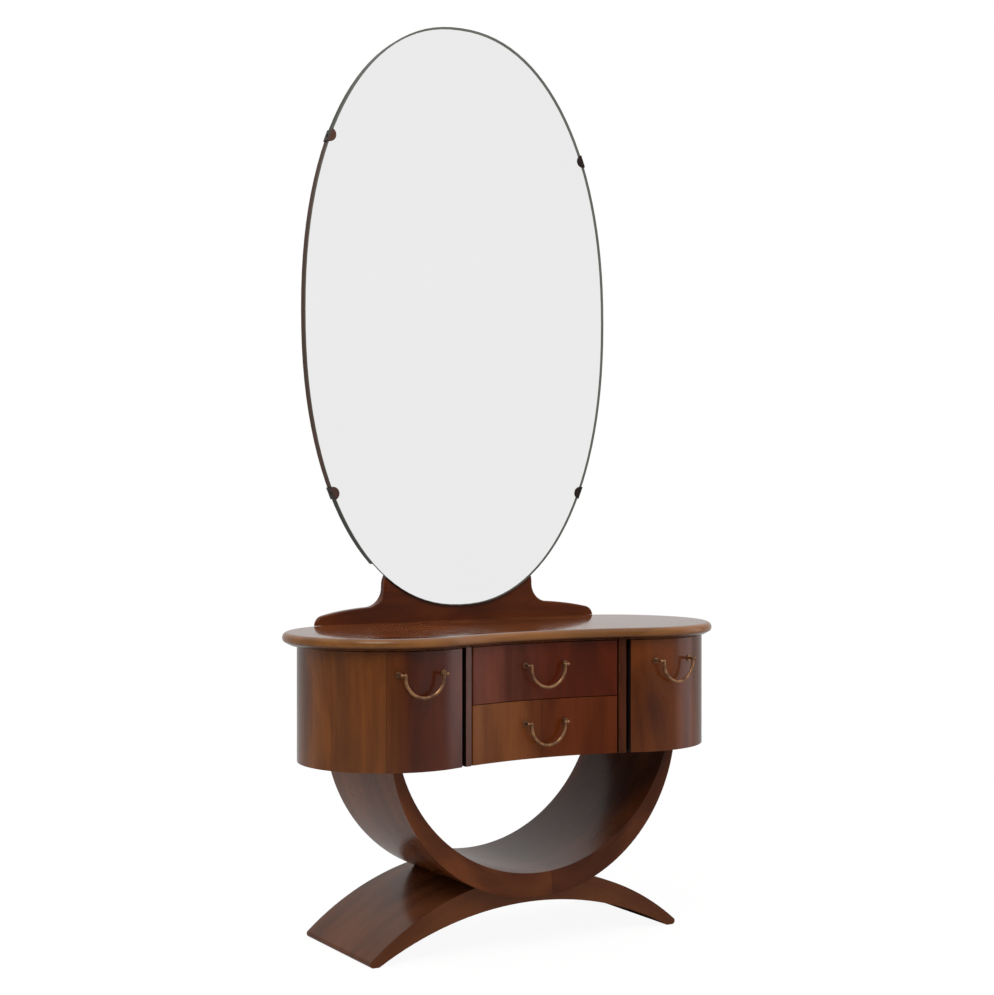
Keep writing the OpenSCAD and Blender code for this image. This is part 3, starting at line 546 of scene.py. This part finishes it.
wooden = [
    node for node in nodes
    if slots[node].endswith(("_veneer", "_wood")) and node != "ring_dowels"
]
for node in wooden:
    bm = merged_copy(node)
    if node.endswith("drawer_front"):
        round_edges(bm, upright_edges(bm, drawer_half_width), drawer_edge, 4)
    if node.endswith("_door"):
        round_edges(bm, upright_edges(bm, door_edge_x), door_edge, 3)
    if node == "mirror_bracket":
        round_edges(bm, bracket_edges(bm), bracket_edge, 4)
    ease(bm, small_edge if node == "glue_blocks" else plain_edge)
    used = [finish_of(node)]
    # Painted shade on the sides of the gaps beside the doors
    if node.endswith(("_door", "_partition")):
        shade_gap_sides(bm, door_edge_x if node.endswith("_door") else stile_outer_x)
        used.append(gap_shade_black)
    if node == "top_board":
        finish_some(bm, on_top_edge)
        used.append(top_edge_wood)
    if slots[node] == "backing_wood":
        finish_some(bm, on_backing_rim)
        used.append(backing_rim)
    # Painted shade on the sides and back of the left clips
    if node.endswith("left_clip"):
        finish_some(bm, on_clip_side)
        used.append(shaded_clip_wood)
    piece = new_piece(node + "_eased", bm, body_of(node), slots[node], *used)
    weighted = piece.modifiers.new("even shading", "WEIGHTED_NORMAL")
    weighted.keep_sharp = True
    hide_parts(node)


# The mirror: a silvered face, a dark line along its edge and a polished rim

def make_glass():
    bm = merged_copy("mirror_glass")
    front = min(bm.faces, key=lambda face: face.normal.y * face.calc_area())
    for face in bm.faces:
        face.material_index = 2
    band = bmesh.ops.inset_region(bm, faces=[front], thickness=mirror_line_width, use_even_offset=True)
    for face in band["faces"]:
        face.material_index = 1
    front.material_index = 0
    bmesh.ops.translate(bm, verts=front.verts, vec=mirror_face_shift)
    piece = new_piece(
        "silvered_mirror", bm, body_of("mirror_glass"), "mirror_glass", mirror_face, mirror_band, mirror_rim
    )
    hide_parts("mirror_glass")


make_glass()

# Metal and dowels keep the model's own meshes
for node in nodes:
    if node not in wooden and node != "mirror_glass":
        nodes[node].data.materials.clear()
        nodes[node].data.materials.append(finish_of(node))


# Studio: pale floor, soft light and the photograph's camera

def make_floor():
    radius = 2.6
    white_share = 0.93
    bm = bmesh.new()
    bmesh.ops.create_circle(bm, cap_ends=True, segments=128, radius=radius)
    mesh = bpy.data.meshes.new("floor")
    bm.to_mesh(mesh)
    bm.free()
    floor = bpy.data.objects.new("floor", mesh)
    bpy.context.scene.collection.objects.link(floor)
    material, tree, shader = new_material("pale_floor")
    path = add(tree, "LightPath").outputs
    # Greyer in reflections, so that the mirror shows no hard edge between floor and wall
    tone = mix(tree, path["Is Glossy Ray"], (0.9, 0.9, 0.9, 1), (0.5, 0.5, 0.5, 1))
    tree.links.new(tone, shader.inputs["Base Color"])
    shader.inputs["Roughness"].default_value = 0.9
    shader.inputs["Specular IOR Level"].default_value = 0.0
    # Nearly white to the camera, with a faint shadow left
    white = add(tree, "Emission", {"Color": (1, 1, 1, 1), "Strength": 1.0}).outputs[0]
    share = calc(tree, "MULTIPLY", path["Is Camera Ray"], white_share)
    surface = add(tree, "MixShader", {0: share, 1: shader.outputs[0], 2: white}).outputs[0]
    output = next(node for node in tree.nodes if node.type == "OUTPUT_MATERIAL")
    tree.links.new(surface, output.inputs[0])
    mesh.materials.append(material)


def make_world():
    """Soft light that differs by direction, as angles round the object and above the horizon."""
    world = bpy.data.worlds.new("studio")
    bpy.context.scene.world = world
    world.use_nodes = True
    tree = world.node_tree
    tree.nodes.clear()
    x, y, z = split(tree, add(tree, "TexCoord").outputs["Generated"])
    azimuth = calc(tree, "DEGREES", calc(tree, "ARCTAN2", y, x))
    rise = calc(tree, "DEGREES", calc(tree, "ARCSINE", z))

    def window(value, low, high, soft):
        """1 between two angles and 0 outside them, with soft ends."""
        begun = spread(tree, value, low - soft, low + soft)
        ended = spread(tree, value, high - soft, high + soft)
        return calc(tree, "SUBTRACT", begun, ended)

    def patch(colour, round_low, round_high, round_soft, rise_low, rise_high, rise_soft, shade):
        share = calc(
            tree, "MULTIPLY",
            window(azimuth, round_low, round_high, round_soft), window(rise, rise_low, rise_high, rise_soft),
        )
        return mix(tree, share, colour, shade + (1,))

    colour = mix(tree, spread(tree, rise, 5, 60), (0.62, 0.61, 0.60, 1), (1.5, 1.48, 1.45, 1))
    # A darker wall on the left, in two parts because the angle jumps from -180 to 180 there
    left_wall = (0.33, 0.29, 0.25)
    colour = patch(colour, -179, -140, 18, -30, 30, 12, left_wall)
    colour = patch(colour, 150, 181, 18, -30, 30, 12, left_wall)
    # The dark side of the room, behind the camera
    colour = patch(colour, -150, -84, 10, -30, 30, 12, (0.2, 0.18, 0.17))
    # The wall on the front right, low down for the drawers and higher up for the glass
    colour = patch(colour, -90, -42, 4, -30, -5.2, 0.9, (0.5, 0.48, 0.46))
    colour = patch(colour, -76, -44, 5, -4.6, 30, 0.5, (0.87, 0.87, 0.87))
    # A bright window, which draws the light bands on the doors
    colour = patch(colour, -34, -3, 3, -30, 40, 8, (2.2, 1.8, 1.8))
    seen = add(tree, "LightPath").outputs["Is Camera Ray"]
    colour = mix(tree, seen, colour, (1, 1, 1, 1))
    background = add(tree, "Background", {"Color": colour, "Strength": 1.0}).outputs[0]
    tree.links.new(background, add(tree, "OutputWorld").inputs[0])


def make_key_light():
    place = Vector((-1.6, -1.6, 3.0))
    target = Vector((0, 0, 0.6))
    lamp = bpy.data.lights.new("key", "AREA")
    lamp.size = 1.6
    lamp.energy = 55
    lamp.color = (1.0, 0.98, 0.95)
    light = bpy.data.objects.new("key", lamp)
    light.location = place
    light.rotation_euler = (target - place).to_track_quat("-Z", "Y").to_euler()
    bpy.context.scene.collection.objects.link(light)


def make_camera():
    lens = bpy.data.cameras.new("camera")
    lens.sensor_fit = "HORIZONTAL"
    lens.sensor_width = 36
    lens.lens = 66.206
    camera = bpy.data.objects.new("camera", lens)
    camera.location = (-1.9184, -3.2367, 0.920)
    camera.rotation_euler = (math.radians(90 - 0.3159), 0, -math.radians(30.4915))
    bpy.context.scene.collection.objects.link(camera)
    bpy.context.scene.camera = camera


make_floor()
make_world()
make_key_light()
make_camera()
bpy.context.scene.view_settings.view_transform = "Standard"
